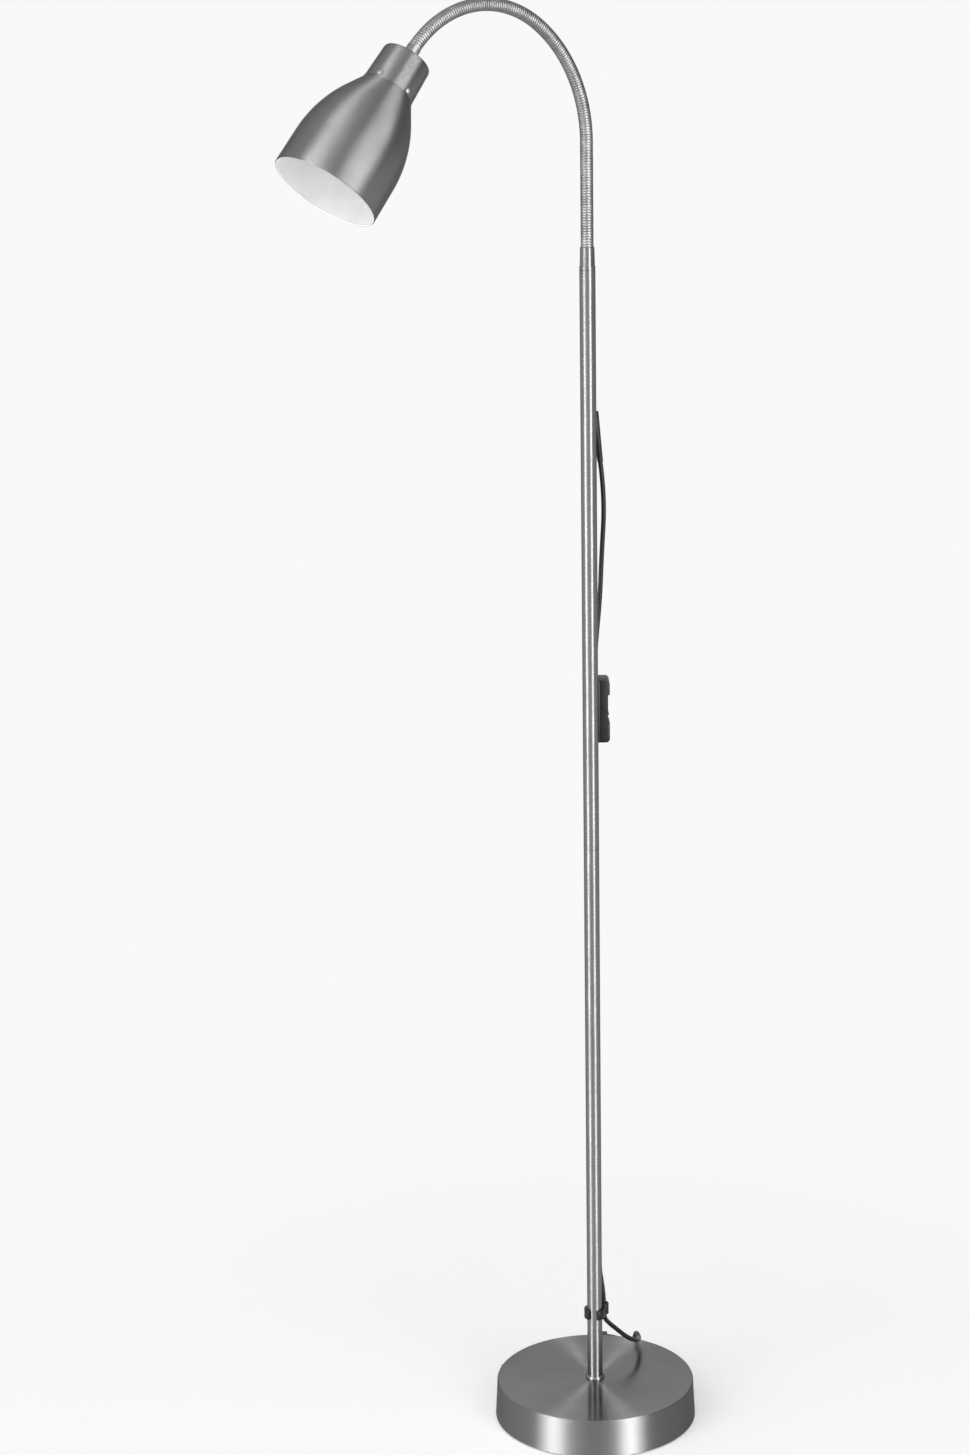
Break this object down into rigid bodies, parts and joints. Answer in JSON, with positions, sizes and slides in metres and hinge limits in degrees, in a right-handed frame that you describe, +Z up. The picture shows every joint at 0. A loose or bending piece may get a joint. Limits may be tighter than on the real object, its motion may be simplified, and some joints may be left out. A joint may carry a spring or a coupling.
{
  "type": "gooseneck reading floor lamp",
  "caption": "Floor lamp with a round weighted base, slim pole, flexible ribbed gooseneck and bell-shaped metal shade, with an inline rocker switch on the lead",
  "frame": {"origin": "centre of the base's underside, on the floor", "axes": "+Z up along the pole; +X to the right and +Y to the back as the picture sees it"},
  "size_m": [0.4007, 0.4198, 1.494],
  "materials": {
    "satin_steel": "satin nickel plate over steel",
    "base_steel": "polished nickel plate, mirror-like on top",
    "neck_steel": "bright nickel plate on wound wire",
    "shade_steel": "satin nickel outside, white enamel inside",
    "plain_steel": "plain zinc plated steel",
    "cast_iron": "raw casting",
    "pad_rubber": "matt",
    "cord_black": "smooth black jacket",
    "black_plastic": "fine moulded",
    "black_gloss": "polished",
    "holder_black": "moulded",
    "brass": "plain",
    "pin_metal": "nickel plated"
  },
  "bodies": {
    "stand": {"base_cover": "base_steel", "base_pad": "pad_rubber", "base_plate": "plain_steel", "base_weight": "cast_iron", "base_plate_screws": "plain_steel", "base_washer": "plain_steel", "base_bolt": "plain_steel", "pole_foot": "satin_steel", "pole_foot_insert": "plain_steel", "pole_lower": "satin_steel", "pole_coupler": "plain_steel", "pole_upper": "satin_steel", "neck_ferrule": "satin_steel", "pole_lead": "cord_black", "cord_relief": "cord_black", "cord_clip": "black_plastic", "cord_upper": "cord_black", "cord_run": "cord_black", "cord_lower": "cord_black", "cord_coil": "cord_black", "cord_tail": "cord_black", "cord_tie": "black_plastic", "plug_body": "black_plastic", "plug_pins": "pin_metal", "switch_screws": "plain_steel", "switch_back_shell": "black_plastic", "switch_front_shell": "black_plastic", "neck_section_1": "neck_steel"},
    "rocker": {"switch_rocker": "black_gloss"},
    "neck_2": {"neck_section_2": "neck_steel"},
    "neck_3": {"neck_section_3": "neck_steel"},
    "neck_4": {"neck_section_4": "neck_steel"},
    "neck_5": {"neck_section_5": "neck_steel"},
    "neck_6": {"neck_section_6": "neck_steel"},
    "neck_7": {"neck_section_7": "neck_steel"},
    "head": {"neck_section_8": "neck_steel", "neck_sleeve": "satin_steel", "head_collar": "shade_steel", "shade": "shade_steel", "shade_screws": "pin_metal", "lampholder_nut": "plain_steel", "lampholder_cap": "holder_black", "lampholder_body": "holder_black", "lampholder_shell": "brass", "lampholder_contact": "brass"}
  },
  "joints": [
    {"name": "neck_side", "type": "hinge", "parent": "stand", "child": "neck_2", "pos_m": [0, 0, 1.284], "axis": [-0.7837, -0.6211, 0], "range_deg": [-30, 30]},
    {"name": "neck_side_2", "type": "hinge", "parent": "neck_2", "child": "neck_3", "pos_m": [0, 0, 1.336], "axis": [-0.7837, -0.6211, 0], "range_deg": [-30, 30]},
    {"name": "neck_bend", "type": "hinge", "parent": "neck_3", "child": "neck_4", "pos_m": [-0.00321, -0.00255, 1.38694], "axis": [0.6211, -0.7837, 0], "range_deg": [-27.95, 10]},
    {"name": "neck_bend_2", "type": "hinge", "parent": "neck_4", "child": "neck_5", "pos_m": [-0.02778, -0.02202, 1.446], "axis": [0.6211, -0.7837, 0], "range_deg": [-27.95, 10]},
    {"name": "neck_bend_3", "type": "hinge", "parent": "neck_5", "child": "neck_6", "pos_m": [-0.0671, -0.05318, 1.48082], "axis": [0.6211, -0.7837, 0], "range_deg": [-27.95, 10]},
    {"name": "neck_bend_4", "type": "hinge", "parent": "neck_6", "child": "neck_7", "pos_m": [-0.10991, -0.08711, 1.48668], "axis": [0.6211, -0.7837, 0], "range_deg": [-27.95, 10]},
    {"name": "neck_bend_5", "type": "hinge", "parent": "neck_7", "child": "head", "pos_m": [-0.14987, -0.11879, 1.46624], "axis": [0.6211, -0.7837, 0], "range_deg": [-27.95, 10]},
    {"name": "switch_rocker", "type": "hinge", "parent": "stand", "child": "rocker", "pos_m": [0.0135, 0.0225, 0.7805], "axis": [0, 1, 0], "range_deg": [0, 14]}
  ],
  "couplings": [
    {"joint": "neck_side_2", "follows": "neck_side", "ratio": 1},
    {"joint": "neck_bend_2", "follows": "neck_bend", "ratio": 1},
    {"joint": "neck_bend_3", "follows": "neck_bend", "ratio": 1},
    {"joint": "neck_bend_4", "follows": "neck_bend", "ratio": 1},
    {"joint": "neck_bend_5", "follows": "neck_bend", "ratio": 1}
  ]
}
